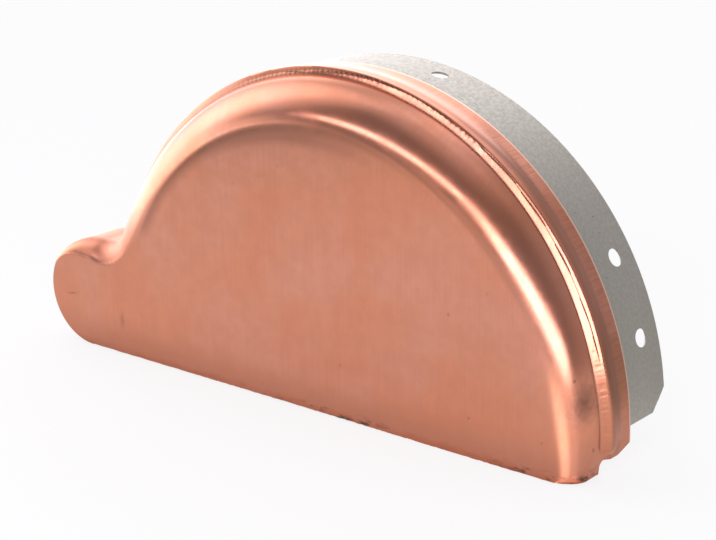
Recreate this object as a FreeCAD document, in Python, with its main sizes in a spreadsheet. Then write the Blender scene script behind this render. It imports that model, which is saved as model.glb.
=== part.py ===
"""Half-round gutter end cap: a pressed copper cap with a steel band held inside its rim.

The cap stands dome upwards on its straight edge, as it is stored before it is fitted. X runs along
that edge with the lobe for the gutter's bead at the left, Y runs from the flat face back to the open
side, and Z is up. The origin lies on the straight edge, in the plane of the face, under the centre
of the half-round. All lengths are millimetres and all angles are degrees, measured about the centre
of the half-round from the right, upwards.
"""
import FreeCAD, Part
import Sketcher
import math
import os

doc = FreeCAD.newDocument("gutter_end_cap")
Vector = FreeCAD.Vector

# Driving dimensions
SIZES = [
    ("gutter_inside_diameter", 127.0),   # half-round gutter that the cap closes
    ("gutter_clearance", 0.2),           # room between the gutter and the band inside it
    ("copper_sheet", 0.6),
    ("steel_sheet", 0.6),
    ("lap_clearance", 0.05),             # room between the band and the copper around it
    ("axis_height", 5.8),                # centre of the half-round above the straight edge
    ("flange_step", 0.9),                # how far the flange stands out beyond the wall
    ("shoulder_radius", 9.5),            # round between the face and the wall
    ("lobe_across", 66.6),               # centre of the lobe, left of the half-round's centre
    ("lobe_radius", 12.2),
    ("lobe_sink", 0.2),                  # how far the straight edge cuts into the round of the lobe
    ("lobe_depth", 12.4),
    ("lobe_edge_radius", 1.2),           # tight round on the outer side of the lobe
    ("lobe_turn_angle", 155.0),          # where on the lobe its round becomes the tight one
    ("valley_radius", 5.0),              # hollow curve between the lobe and the dome
    ("valley_shoulder_radius", 7.0),     # round of the face where the valley meets the lobe
    ("lip_width", 4.0),                  # straight edge turned in, and how far
    ("lip_bend_radius", 1.2),
    ("lip_bend_start_radius", 0.65),     # the bend where it starts beside the lobe
    ("lip_bend_start", 61.0),            # that place, left of the half-round's centre
    ("rib_depth", 10.3),                 # crest of the rib behind the face
    ("rib_rise", 0.7),                   # crest of the rib above the flange
    ("rib_round", 2.4),                  # radius of the rib's section, outside
    ("rib_right_angle", -0.2),
    ("rib_left_angle", 152.0),
    ("flange_depth", 17.6),              # rear edge of the flange behind the face
    ("flange_right_angle", -5.0),        # below the foot's cut, which trims it
    ("flange_left_angle", 157.0),
    ("foot_depth", 8.3),                 # where the right foot of the wall ends
    ("foot_gap", 2.8),                   # how far the rim stops short of the straight edge
    ("foot_corner_radius", 1.5),
    ("band_depth", 31.0),                # rear edge of the band behind the face
    ("band_right_angle", 1.0),
    ("band_left_angle", 155.4),
    ("band_corner_back", 4.2),           # cut corner of the band, along its depth
    ("band_corner_round", 3.0),          # cut corner of the band, around the curve
    ("hole_diameter", 3.6),
    ("hole_depth", 25.1),                # row of holes behind the face
    ("hole_end_angle", 14.2),            # first hole from each end of the band
    ("hole_next_angle", 29.0),           # second hole from each end of the band
    ("bead_right_angle", 1.8),           # where the bead inside the rib starts
]

sheet = doc.addObject("Spreadsheet::Sheet", "Sizes")
for row, (alias, number) in enumerate(SIZES, start=1):
    sheet.set(f"A{row}", alias)
    sheet.set(f"B{row}", str(number))
    sheet.setAlias(f"B{row}", alias)
doc.recompute()

# Dimensions that follow from the driving ones
BAND_OUTSIDE = "(Sizes.gutter_inside_diameter / 2 - Sizes.gutter_clearance)"
BAND_INSIDE = f"({BAND_OUTSIDE} - Sizes.steel_sheet)"
FLANGE_INSIDE = f"({BAND_OUTSIDE} + Sizes.lap_clearance)"
FLANGE_OUTSIDE = f"({FLANGE_INSIDE} + Sizes.copper_sheet)"
WALL_OUTSIDE = f"({FLANGE_OUTSIDE} - Sizes.flange_step)"
WALL_INSIDE = f"({WALL_OUTSIDE} - Sizes.copper_sheet)"
RIB_CENTRE = f"({FLANGE_OUTSIDE} + Sizes.rib_rise - Sizes.rib_round)"
WALL_MIDDLE = f"({WALL_OUTSIDE} - Sizes.copper_sheet / 2)"
WEB_FRONT = "(Sizes.rib_depth - Sizes.copper_sheet / 2)"
WEB_REAR = "(Sizes.rib_depth + Sizes.copper_sheet / 2)"
STRIP_FRONT = f"({WEB_REAR} + Sizes.lap_clearance)"
RIB_HOLLOW = "(Sizes.rib_round - Sizes.copper_sheet)"
BEAD_OUTSIDE = f"({RIB_HOLLOW} - Sizes.lap_clearance)"
BEAD_INSIDE = f"({BEAD_OUTSIDE} - Sizes.steel_sheet)"
BAND_MIDDLE = "(Sizes.band_right_angle + Sizes.band_left_angle) / 2"
LOBE_HEIGHT = "(Sizes.lobe_radius - Sizes.lobe_sink)"
NO_INSET = "0 * Sizes.copper_sheet"
MARGIN = 5.0                             # how far a cutting shape reaches past what it cuts
TOUCH = 0.02                             # closer than this counts as the same place


def size(expression):
    """The number that an expression on the sheet gives now."""
    return float(sheet.evalExpression(expression))


def origin_plane(body, role):
    return next(part for part in body.Origin.OriginFeatures if part.Role == role)


def new_sketch(body, name, role):
    sketch = body.newObject("Sketcher::SketchObject", name)
    sketch.AttachmentSupport = [(origin_plane(body, role), "")]
    sketch.MapMode = "FlatFace"
    return sketch


def drive(sketch, name, expression, kind, *where):
    """Adds a dimension to a sketch, at its size now, and ties it to the sheet."""
    index = sketch.addConstraint(Sketcher.Constraint(kind, *where, size(expression)))
    sketch.renameConstraint(index, name)
    sketch.setExpression(f"Constraints.{name}", expression)


def polar(centre, radius, angle):
    turn = math.radians(angle)
    return Vector(centre.x + radius * math.cos(turn), centre.y + radius * math.sin(turn), 0)


def arc(centre, radius, start, end):
    circle = Part.Circle(centre, Vector(0, 0, 1), radius)
    return Part.ArcOfCircle(circle, math.radians(start), math.radians(end))


def boolean(kind, name, *objects):
    """A cut of the second object from the first, what two share, or a fusion of them all."""
    result = doc.addObject(kind, name)
    if kind in ("Part::Cut", "Part::Common"):
        result.Base, result.Tool = objects
    else:
        result.Shapes = list(objects)
    return result


class At:
    """Numbers by which a sketch knows the points of a line or an arc, and its own axes."""
    START, END, CENTRE = 1, 2, 3
    ORIGIN, UPRIGHT = -1, -2


def cap_outline(body, inset):
    """Dome, valley, lobe and straight edge, drawn in the plane of the face."""
    sketch = new_sketch(body, f"{body.Name}_outline", "XZ_Plane")
    sketch.setExpression(".AttachmentOffset.Base.z", f"-({inset})")
    dome_radius = f"{WALL_OUTSIDE} - {inset}"
    lobe_radius = f"Sizes.lobe_radius - {inset}"
    valley_radius = f"Sizes.valley_radius + {inset}"
    dome = Vector(0, size("Sizes.axis_height"), 0)
    lobe = Vector(-size("Sizes.lobe_across"), size(LOBE_HEIGHT), 0)
    span = lobe - dome
    to_dome = size(dome_radius) + size(valley_radius)
    to_lobe = size(lobe_radius) + size(valley_radius)
    corner = math.acos((to_dome ** 2 + span.Length ** 2 - to_lobe ** 2) / (2 * to_dome * span.Length))
    dome_end = math.degrees(math.atan2(span.y, span.x) - corner)
    valley = polar(dome, to_dome, dome_end)
    lobe_start = math.degrees(math.atan2(valley.y - lobe.y, valley.x - lobe.x))
    turn = size("Sizes.lobe_turn_angle")
    floor = size(inset)
    dome_start = math.degrees(math.asin((floor - dome.y) / size(dome_radius)))
    lobe_end = 180 + math.degrees(math.asin((lobe.y - floor) / size(lobe_radius)))
    dome_arc = sketch.addGeometry(arc(dome, size(dome_radius), dome_start, dome_end))
    valley_arc = sketch.addGeometry(arc(valley, size(valley_radius), lobe_start + 180, dome_end + 180))
    lobe_top = sketch.addGeometry(arc(lobe, size(lobe_radius), lobe_start, turn))
    lobe_side = sketch.addGeometry(arc(lobe, size(lobe_radius), turn, lobe_end))
    left_end = polar(lobe, size(lobe_radius), lobe_end)
    right_end = polar(dome, size(dome_radius), dome_start)
    edge = sketch.addGeometry(Part.LineSegment(left_end, right_end))
    sketch.addConstraint([
        Sketcher.Constraint("Tangent", dome_arc, At.END, valley_arc, At.END),
        Sketcher.Constraint("Tangent", valley_arc, At.START, lobe_top, At.START),
        Sketcher.Constraint("Tangent", lobe_top, At.END, lobe_side, At.START),
        Sketcher.Constraint("Coincident", lobe_side, At.END, edge, At.START),
        Sketcher.Constraint("Coincident", edge, At.END, dome_arc, At.START),
        Sketcher.Constraint("Equal", lobe_top, lobe_side),
        Sketcher.Constraint("PointOnObject", dome_arc, At.CENTRE, At.UPRIGHT),
        Sketcher.Constraint("Horizontal", edge),
    ])
    drive(sketch, "dome_height", "Sizes.axis_height", "DistanceY", At.ORIGIN, At.START, dome_arc, At.CENTRE)
    drive(sketch, "dome_radius", dome_radius, "Radius", dome_arc)
    drive(sketch, "valley_radius", valley_radius, "Radius", valley_arc)
    drive(sketch, "lobe_radius", lobe_radius, "Radius", lobe_top)
    drive(sketch, "lobe_across", "Sizes.lobe_across", "DistanceX", lobe_top, At.CENTRE, At.ORIGIN, At.START)
    drive(sketch, "lobe_height", LOBE_HEIGHT, "DistanceY", At.ORIGIN, At.START, lobe_top, At.CENTRE)
    turn_height = f"{LOBE_HEIGHT} + ({lobe_radius}) * sin(Sizes.lobe_turn_angle * 1 deg)"
    drive(sketch, "turn_height", turn_height, "DistanceY", At.ORIGIN, At.START, lobe_side, At.START)
    if floor > 0:
        drive(sketch, "edge_height", inset, "DistanceY", At.ORIGIN, At.START, edge, At.START)
    else:
        sketch.addConstraint(Sketcher.Constraint("PointOnObject", edge, At.START, At.ORIGIN))
    return sketch


def front_arc(shape, radius, low):
    """Number of the round edge of the face that has this radius, the lowest or the highest such edge."""
    front = shape.BoundBox.YMin
    found = []
    for number, edge in enumerate(shape.Edges, start=1):
        flat = edge.BoundBox.YMax - front < TOUCH
        if flat and hasattr(edge.Curve, "Radius") and abs(edge.Curve.Radius - radius) < TOUCH:
            found.append((edge.CenterOfMass.z, number))
    return min(found)[1] if low else max(found)[1]


def inner_corner(shape):
    """Number of the edge of a box that runs across at its front and its top."""
    box = shape.BoundBox
    for number, edge in enumerate(shape.Edges, start=1):
        middle = edge.CenterOfMass
        if abs(middle.y - box.YMin) < TOUCH and abs(middle.z - box.ZMax) < TOUCH:
            return number
    raise RuntimeError("the box has no such edge")


def block(name, low, high):
    """A plain box between two corners, each given as three expressions."""
    box = doc.addObject("Part::Box", name)
    for axis, length, start, end in zip("xyz", ("Length", "Width", "Height"), low, high):
        box.setExpression(f"Placement.Base.{axis}", start)
        box.setExpression(length, f"({end}) - ({start})")
    return box


def lip_edges(shape, floor):
    """Numbers of the edges round the front and right of the flat underside, left to right."""
    rear = max(corner.Point.y for corner in shape.Vertexes)
    found = []
    for number, edge in enumerate(shape.Edges, start=1):
        points = [corner.Point for corner in edge.Vertexes]
        flat = max(abs(point.z - floor) for point in points) < TOUCH
        across = max(point.x for point in points)
        left = min(point.x for point in points)
        if flat and across - left < TOUCH and across < 0:
            continue
        if flat and min(point.y for point in points) < rear - TOUCH:
            found.append((left, across, number))
    return [number for left, across, number in sorted(found)]


def cap_form(name, inset):
    """The cap as a full solid, moved in all round by the inset: outside with none, inside with a sheet."""
    body = doc.addObject("PartDesign::Body", f"{name}_form")
    outline = cap_outline(body, inset)
    pad = body.newObject("PartDesign::Pad", f"{name}_pad")
    pad.Profile = outline
    pad.Reversed = True
    pad.setExpression("Length", f"Sizes.lobe_depth + {inset}")
    doc.recompute()

    def rounded(alias):
        return size(f"Sizes.{alias} - {inset}")

    shoulder = doc.addObject("Part::Fillet", f"{name}_shoulder")
    shoulder.Base = body
    dome = front_arc(body.Shape, size(f"{WALL_OUTSIDE} - {inset}"), low=False)
    valley = front_arc(body.Shape, size(f"Sizes.valley_radius + {inset}"), low=False)
    lobe_top = front_arc(body.Shape, size(f"Sizes.lobe_radius - {inset}"), low=False)
    lobe_side = front_arc(body.Shape, size(f"Sizes.lobe_radius - {inset}"), low=True)
    shoulder.Edges = [
        (dome, rounded("shoulder_radius"), rounded("shoulder_radius")),
        (valley, rounded("shoulder_radius"), rounded("valley_shoulder_radius")),
        (lobe_top, rounded("valley_shoulder_radius"), rounded("lobe_edge_radius")),
        (lobe_side, rounded("lobe_edge_radius"), rounded("lobe_edge_radius")),
    ]
    main_part = boolean("Part::Common", f"{name}_main_part", shoulder, main_block)
    lobe_part = boolean("Part::Cut", f"{name}_lobe_part", shoulder, main_block)
    doc.recompute()

    bend = doc.addObject("Part::Fillet", f"{name}_bend")
    bend.Base = main_part
    radius = rounded("lip_bend_radius")
    front, corner, side = lip_edges(main_part.Shape, size(inset))
    bend.Edges = [
        (front, rounded("lip_bend_start_radius"), radius),
        (corner, radius, radius),
        (side, radius, radius),
    ]
    return boolean("Part::MultiFuse", f"{name}_whole", bend, lobe_part)


def rib_form(name, section, right, left):
    """A bent round bar with a ball at each end, of the given section radius and end angles."""
    bar = doc.addObject("Part::Torus", f"{name}_bar")
    upright = FreeCAD.Rotation(Vector(1, 0, 0), 90)
    bar.Placement.Rotation = upright * FreeCAD.Rotation(Vector(0, 0, 1), size(right))
    bar.setExpression("Radius1", RIB_CENTRE)
    bar.setExpression("Radius2", section)
    bar.setExpression("Angle3", f"({left}) - ({right})")
    bar.setExpression("Placement.Base.y", "Sizes.rib_depth")
    bar.setExpression("Placement.Base.z", "Sizes.axis_height")
    pieces = [bar]
    for side, angle in (("right", right), ("left", left)):
        ball = doc.addObject("Part::Sphere", f"{name}_{side}_end")
        ball.setExpression("Radius", section)
        ball.setExpression("Placement.Base.x", f"{RIB_CENTRE} * cos({angle} * 1 deg)")
        ball.setExpression("Placement.Base.y", "Sizes.rib_depth")
        ball.setExpression("Placement.Base.z", f"Sizes.axis_height + {RIB_CENTRE} * sin({angle} * 1 deg)")
        pieces.append(ball)
    return boolean("Part::MultiFuse", name, *pieces)


def core(name, radius, front, rear):
    """A round block about the half-round's centre, between two depths."""
    cylinder = doc.addObject("Part::Cylinder", name)
    cylinder.Placement.Rotation = FreeCAD.Rotation(Vector(1, 0, 0), -90)
    cylinder.setExpression("Radius", radius)
    cylinder.setExpression("Height", f"({rear}) - ({front})")
    cylinder.setExpression("Placement.Base.y", front)
    cylinder.setExpression("Placement.Base.z", "Sizes.axis_height")
    return cylinder


def ring(name, corners, right, left):
    """A body with a straight-sided section, turned about the half-round's centre between two angles.

    Each corner of the section is a radius and a depth.
    """
    body = doc.addObject("PartDesign::Body", name)
    body.Placement.Rotation = FreeCAD.Rotation(Vector(0, -1, 0), size(right))
    body.setExpression("Placement.Base.z", "Sizes.axis_height")
    sketch = new_sketch(body, f"{name}_section", "XY_Plane")
    points = [Vector(size(radius), size(depth), 0) for radius, depth in corners]
    count = len(points)
    for index, point in enumerate(points):
        sketch.addGeometry(Part.LineSegment(point, points[(index + 1) % count]))
    for index, (radius, depth) in enumerate(corners):
        sketch.addConstraint(Sketcher.Constraint("Coincident", index, At.END, (index + 1) % count, At.START))
        drive(sketch, f"radius_{index}", radius, "DistanceX", At.ORIGIN, At.START, index, At.START)
        drive(sketch, f"depth_{index}", depth, "DistanceY", At.ORIGIN, At.START, index, At.START)
    turn = body.newObject("PartDesign::Revolution", f"{name}_turn")
    turn.Profile = sketch
    turn.ReferenceAxis = (sketch, ["V_Axis"])
    turn.Reversed = True
    turn.setExpression("Angle", f"({left}) - ({right})")
    return body


# Copper cap: a shell between two forms, with its straight side and the rear of its dome opened
main_block = block(
    "main_block",
    ("-Sizes.lip_bend_start", f"-{MARGIN}", f"-{MARGIN}"),
    (f"{FLANGE_OUTSIDE} + {MARGIN}", f"Sizes.band_depth + {MARGIN}", "Sizes.gutter_inside_diameter"),
)
outside = cap_form("outside", NO_INSET)
inside = cap_form("inside", "Sizes.copper_sheet")
shell = boolean("Part::Cut", "shell", outside, inside)
straight_opening = block(
    "straight_opening",
    ("-Sizes.lobe_across", "Sizes.lip_width", f"-{MARGIN}"),
    (
        f"{WALL_INSIDE} - Sizes.lip_width",
        f"Sizes.lobe_depth + {MARGIN}",
        "Sizes.copper_sheet + Sizes.lap_clearance",
    ),
)
dome_rear = ring(
    "dome_rear",
    [
        (f"{WALL_INSIDE} - {MARGIN}", "Sizes.rib_depth"),
        (f"{WALL_OUTSIDE} + {MARGIN}", "Sizes.rib_depth"),
        (f"{WALL_OUTSIDE} + {MARGIN}", f"Sizes.lobe_depth + {MARGIN}"),
        (f"{WALL_INSIDE} - {MARGIN}", f"Sizes.lobe_depth + {MARGIN}"),
    ],
    f"Sizes.flange_right_angle - {MARGIN}",
    "Sizes.flange_left_angle",
)
open_shell = boolean("Part::Cut", "open_shell", shell, straight_opening)
pressed = boolean("Part::Cut", "pressed", open_shell, dome_rear)

# Flange behind the rib, with the web that steps out to it
flange = ring(
    "flange",
    [
        (WALL_INSIDE, WEB_FRONT),
        (FLANGE_OUTSIDE, WEB_FRONT),
        (FLANGE_OUTSIDE, "Sizes.flange_depth"),
        (FLANGE_INSIDE, "Sizes.flange_depth"),
        (FLANGE_INSIDE, WEB_REAR),
        (WALL_INSIDE, WEB_REAR),
    ],
    "Sizes.flange_right_angle",
    "Sizes.flange_left_angle",
)

# Rib rolled out of the rim, with a rounded end at each side
rib_ends = "Sizes.rib_right_angle", "Sizes.rib_left_angle"
rib_solid = rib_form("rib_solid", "Sizes.rib_round", *rib_ends)
rib_front_core = core("rib_front_core", WALL_MIDDLE, "0", "Sizes.rib_depth")
rib_rear_core = core("rib_rear_core", FLANGE_INSIDE, "Sizes.rib_depth", "Sizes.flange_depth")
rib_core = boolean("Part::MultiFuse", "rib_core", rib_front_core, rib_rear_core)
rib_crest = boolean("Part::Cut", "rib_crest", rib_solid, rib_core)
rib_hollow = rib_form("rib_hollow", RIB_HOLLOW, *rib_ends)

# Foot at the right, where the rim stops short of the straight edge
foot_block = block(
    "foot_block",
    (f"{WALL_INSIDE} - {MARGIN}", "Sizes.foot_depth", f"-{MARGIN}"),
    (f"{FLANGE_OUTSIDE} + {MARGIN}", f"Sizes.flange_depth + {MARGIN}", "Sizes.foot_gap"),
)
doc.recompute()
foot_cut = doc.addObject("Part::Fillet", "foot_cut")
foot_cut.Base = foot_block
foot_radius = size("Sizes.foot_corner_radius")
foot_cut.Edges = [(inner_corner(foot_block.Shape), foot_radius, foot_radius)]

cap_solid = boolean("Part::MultiFuse", "cap_solid", pressed, flange, rib_crest)
cap_cuts = boolean("Part::MultiFuse", "cap_cuts", rib_hollow, foot_cut)
copper_cap = boolean("Part::Cut", "copper_cap", cap_solid, cap_cuts)

# Steel band: a strip with cut rear corners and a bead that lies inside the rib
strip = ring(
    "strip",
    [
        (BAND_INSIDE, STRIP_FRONT),
        (BAND_OUTSIDE, STRIP_FRONT),
        (BAND_OUTSIDE, "Sizes.band_depth"),
        (BAND_INSIDE, "Sizes.band_depth"),
    ],
    "Sizes.band_right_angle",
    "Sizes.band_left_angle",
)
bead_ends = "Sizes.bead_right_angle", "Sizes.rib_left_angle"
bead_solid = rib_form("bead_solid", BEAD_OUTSIDE, *bead_ends)
bead_core = core("bead_core", BAND_INSIDE, "0", "Sizes.flange_depth")
bead_crest = boolean("Part::Cut", "bead_crest", bead_solid, bead_core)
bead_hollow = rib_form("bead_hollow", BEAD_INSIDE, *bead_ends)
band_solid = boolean("Part::MultiFuse", "band_solid", strip, bead_crest)


def rivet_hole(name, angle):
    """A round cutter pointing straight out from the half-round's centre, through the band only."""
    start = f"({BAND_INSIDE} - {MARGIN})"
    cutter = doc.addObject("Part::Cylinder", name)
    cutter.Placement.Rotation = FreeCAD.Rotation(Vector(0, 1, 0), 90 - size(angle))
    cutter.setExpression("Radius", "Sizes.hole_diameter / 2")
    cutter.setExpression("Height", f"2 * {MARGIN}")
    cutter.setExpression("Placement.Base.x", f"{start} * cos(({angle}) * 1deg)")
    cutter.setExpression("Placement.Base.y", "Sizes.hole_depth")
    cutter.setExpression("Placement.Base.z", f"Sizes.axis_height + {start} * sin(({angle}) * 1deg)")
    return cutter


def corner_cut(name, angle, side):
    """A three-cornered block that takes a rear corner off the band, at its right end or its left."""
    body = doc.addObject("PartDesign::Body", name)
    body.Placement.Rotation = FreeCAD.Rotation(Vector(0, -1, 0), size(angle))
    body.setExpression("Placement.Base.z", "Sizes.axis_height")
    sketch = new_sketch(body, f"{name}_section", "YZ_Plane")
    over = "Sizes.band_corner_round / Sizes.band_corner_back"
    corners = [
        (f"Sizes.band_depth - Sizes.band_corner_back - {MARGIN}", f"-({MARGIN} * {over}) * {side}"),
        (f"Sizes.band_depth + {MARGIN}", f"-({MARGIN} * {over}) * {side}"),
        (f"Sizes.band_depth + {MARGIN}", f"(Sizes.band_corner_round + {MARGIN} * {over}) * {side}"),
    ]
    points = [Vector(size(depth), size(height), 0) for depth, height in corners]
    for index, point in enumerate(points):
        sketch.addGeometry(Part.LineSegment(point, points[(index + 1) % 3]))
    for index, (depth, height) in enumerate(corners):
        sketch.addConstraint(Sketcher.Constraint("Coincident", index, At.END, (index + 1) % 3, At.START))
        drive(sketch, f"depth_{index}", depth, "DistanceX", At.ORIGIN, At.START, index, At.START)
        drive(sketch, f"height_{index}", height, "DistanceY", At.ORIGIN, At.START, index, At.START)
    pad = body.newObject("PartDesign::Pad", f"{name}_pad")
    pad.Profile = sketch
    pad.setExpression("Length", f"{FLANGE_OUTSIDE} + {MARGIN}")
    return body


band_cutters = [
    bead_hollow,
    corner_cut("right_corner_cut", "Sizes.band_right_angle", 1),
    corner_cut("left_corner_cut", "Sizes.band_left_angle", -1),
    rivet_hole("right_end_hole", "Sizes.band_right_angle + Sizes.hole_end_angle"),
    rivet_hole("right_next_hole", "Sizes.band_right_angle + Sizes.hole_next_angle"),
    rivet_hole("middle_hole", BAND_MIDDLE),
    rivet_hole("left_next_hole", "Sizes.band_left_angle - Sizes.hole_next_angle"),
    rivet_hole("left_end_hole", "Sizes.band_left_angle - Sizes.hole_end_angle"),
]
band_cuts = boolean("Part::MultiFuse", "band_cuts", *band_cutters)
steel_band = boolean("Part::Cut", "steel_band", band_solid, band_cuts)
doc.recompute()

faulty = [part.Name for part in doc.Objects if "Invalid" in part.State or "Error" in part.State]
if faulty:
    raise RuntimeError(f"these did not build: {faulty}")

os.makedirs("parts", exist_ok=True)
for part in (copper_cap, steel_band):
    part.Label = part.Name
    shape = part.Shape
    print(part.Label, shape.isValid(), len(shape.Solids), round(shape.Volume, 1), shape.BoundBox)
    if shape.isNull() or not shape.isValid() or len(shape.Solids) != 1:
        raise RuntimeError(f"{part.Label} is not one sound solid")
    shape.exportStep(f"parts/{part.Label}.step")
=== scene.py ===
# %% [markdown]
# # A copper gutter end cap
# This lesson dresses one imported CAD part: the cap that closes the end of a half-round gutter. The cap is
# pressed from copper sheet, and a grey steel band sits inside its rim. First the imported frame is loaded, so
# that every size below can be held against the CAD model. Lengths in this file are written in millimetres,
# as a maker would say them, and turned into Blender's metres at the last moment.

import math

import bpy
import numpy as np
from mathutils import Matrix, Vector


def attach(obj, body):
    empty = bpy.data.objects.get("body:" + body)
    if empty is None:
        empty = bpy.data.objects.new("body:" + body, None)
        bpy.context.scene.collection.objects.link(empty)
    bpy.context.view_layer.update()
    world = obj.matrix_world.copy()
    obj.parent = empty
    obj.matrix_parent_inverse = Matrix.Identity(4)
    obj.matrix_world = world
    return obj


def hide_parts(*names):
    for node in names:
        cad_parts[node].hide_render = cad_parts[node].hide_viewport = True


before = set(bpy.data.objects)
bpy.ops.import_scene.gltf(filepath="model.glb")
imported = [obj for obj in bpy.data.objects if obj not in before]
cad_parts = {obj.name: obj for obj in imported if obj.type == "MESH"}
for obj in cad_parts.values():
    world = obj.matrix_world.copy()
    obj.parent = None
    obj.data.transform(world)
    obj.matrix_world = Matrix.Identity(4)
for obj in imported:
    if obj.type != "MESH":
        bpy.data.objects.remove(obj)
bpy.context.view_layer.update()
MM = 0.001

# %% [markdown]
# ## The camera
# The photograph was taken from the right and a little above, with a long lens, so the sides hardly
# converge. The camera is given by two angles, a small roll and a distance. Its three axes are worked out
# from these and put into one matrix, which is easier to read than a chain of rotations.

# %% Camera at the photograph's viewing angle
AZIMUTH, ELEVATION, ROLL = math.radians(39.62), math.radians(18.28), math.radians(-1.01)
CAMERA_PLACE = Vector((249.457, -287.347, 156.346)) * MM
FOCAL_PIXELS, PHOTO_WIDTH, SENSOR_WIDTH = 2000, 716, 36

back = Vector((
    math.sin(AZIMUTH) * math.cos(ELEVATION),
    -math.cos(AZIMUTH) * math.cos(ELEVATION),
    math.sin(ELEVATION),
))
level_right = Vector((math.cos(AZIMUTH), math.sin(AZIMUTH), 0))
level_up = back.cross(level_right)
right = level_right * math.cos(ROLL) + level_up * math.sin(ROLL)
up = level_up * math.cos(ROLL) - level_right * math.sin(ROLL)
turn = Matrix((right, up, back)).transposed().to_4x4()

bpy.ops.object.camera_add()
camera = bpy.context.object
camera.name = "camera"
camera.data.sensor_width = SENSOR_WIDTH
camera.data.lens = SENSOR_WIDTH * FOCAL_PIXELS / PHOTO_WIDTH
camera.data.clip_start = 0.01
camera.matrix_world = Matrix.Translation(CAMERA_PLACE) @ turn
bpy.context.scene.camera = camera
print("camera lens:", round(camera.data.lens, 2), "mm")

# %% [markdown]
# ## The sizes of the pressed cap
# The real cap starts as a flat sheet. A press draws it over a form: a half-round dome, a small lobe for the
# gutter's bead, and a hollow valley between the two. These are the same sizes as in the CAD source. The
# outline is three arcs that run into each other smoothly, from the right foot over the dome to the lobe.

# %% Outline of the cap
AXIS_HEIGHT = 5.8
WALL = 63.05
FLANGE = 63.95
SHOULDER = 9.5
LOBE = np.array([-66.6, 12.19])
LOBE_RADIUS = 12.19
LOBE_DEPTH = 12.4
LOBE_EDGE = 0.9
VALLEY_RADIUS = 5.0
DOME_END_SHOULDER, VALLEY_SHOULDER = 7.5, 4.4
SHEET = 0.6
LIP = 4.0
FLANGE_DEPTH = 17.6
FLANGE_END = 157.0
RIB_START, RIB_FALL, RIB_END = 7.97, 10.6, 15.0
RIB_CREST = 64.61
RIB_TIPS = -1.5, 153.8

dome = np.array([0.0, AXIS_HEIGHT])


def toward(degrees):
    """Unit vector at an angle, measured from the right upwards, in the plane of the face."""
    return np.array([math.cos(math.radians(degrees)), math.sin(math.radians(degrees))])


span = LOBE - dome
reach = WALL + VALLEY_RADIUS
lobe_reach = LOBE_RADIUS + VALLEY_RADIUS
corner = math.acos((reach ** 2 + span @ span - lobe_reach ** 2) / (2 * reach * math.hypot(*span)))
dome_end = math.degrees(math.atan2(span[1], span[0]) - corner)
valley = dome + reach * toward(dome_end)
lobe_start = math.degrees(math.atan2(*(valley - LOBE)[::-1]))
print("dome ends at", round(dome_end, 1), "degrees, lobe starts at", round(lobe_start, 1))

# %% [markdown]
# The sheet is laid out in columns that follow the outline and rows that run from the straight edge across
# the face, over the shoulder and back along the wall. Each column knows its place on the outline, the way
# out from the metal, and the radius of its shoulder, which shrinks from the dome to the lobe.

# %% Columns along the outline
DOME_STEP, VALLEY_COLUMNS, LOBE_COLUMNS = 0.30, 15, 63
NARROW_FROM = 148
LOBE_EDGE_FROM, LOBE_EDGE_TO = 90, 155
SHARP_BEND, SOFT_BEND = 0.45, 0.90


def ease(value, low, high):
    """Zero below low, one above high and a smooth rise between."""
    t = np.clip((value - low) / (high - low), 0, 1)
    return t * t * (3 - 2 * t)


def dome_shoulder(angle):
    """The dome's shoulder, which narrows on the last degrees before the valley."""
    narrowed = max(0, (angle - NARROW_FROM) / (dome_end - NARROW_FROM)) ** 2
    return SHOULDER + (DOME_END_SHOULDER - SHOULDER) * narrowed


def outline_columns():
    """Rows of angle on the dome, place, outward direction, shoulder radius and flange or not."""
    columns = []
    foot_angle = math.degrees(math.asin((SHARP_BEND - AXIS_HEIGHT) / WALL))
    count = int(math.radians(FLANGE_END - foot_angle) * WALL / DOME_STEP)
    with_flange = np.linspace(foot_angle, FLANGE_END, count)
    past_flange = np.linspace(FLANGE_END + 0.04, dome_end, 4)
    for angle in (*with_flange, *past_flange):
        place = dome + WALL * toward(angle)
        columns.append((angle, *place, *toward(angle), dome_shoulder(angle), angle <= FLANGE_END))
    for share in np.linspace(0, 1, VALLEY_COLUMNS + 1)[1:]:
        angle = dome_end + 180 + share * (lobe_start - dome_end)
        radius = DOME_END_SHOULDER + (VALLEY_SHOULDER - DOME_END_SHOULDER) * share
        place = valley + VALLEY_RADIUS * toward(angle)
        columns.append((FLANGE_END + 1, *place, *-toward(angle), radius, 0))
    for angle in np.linspace(lobe_start, 270, LOBE_COLUMNS + 1)[1:]:
        narrowed = ease(angle, LOBE_EDGE_FROM, LOBE_EDGE_TO)
        radius = VALLEY_SHOULDER + (LOBE_EDGE - VALLEY_SHOULDER) * narrowed
        place = LOBE + LOBE_RADIUS * toward(angle)
        columns.append((FLANGE_END + 1, *place, *toward(angle), radius, 0))
    return np.array(columns)


columns = outline_columns()
print("columns along the outline:", len(columns))

# %% [markdown]
# ## The rolled rib
# Round the rim, a roller raises a rib and leaves its mark: a fine groove along the front flank, with little
# notches across it where the roller bit harder. Such marks are real dents, so they are put into the mesh and
# not only into the shading. The height of the rim is a sum of simple shapes: the wall, a step out to the
# flange, the rib with a rounded tip at each end, and the marks.

# %% Height of the rim over its depth
RIB_FOOT, GROOVE = 8.2, 0.30
RIB_MIDDLE, RIB_HALF, TIP_ROUND = 10.2, 2.4, 1.9
NOTCH_PITCH, NOTCH_BITE = 1.25, 0.12
TICK_PITCH, TICK_BITE = 0.95, 0.07
STEP_START, STEP_END = 9.4, 11.0
REAR_EDGE, REAR_FALL = 17.3, 0.05
FOOT_SINK, CREST_ROUND = 0.1, 0.01
generator = np.random.default_rng(7)
wobble_places = np.arange(-12, 170, 0.8)
wobble_values = generator.uniform(-1, 1, len(wobble_places))


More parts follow.
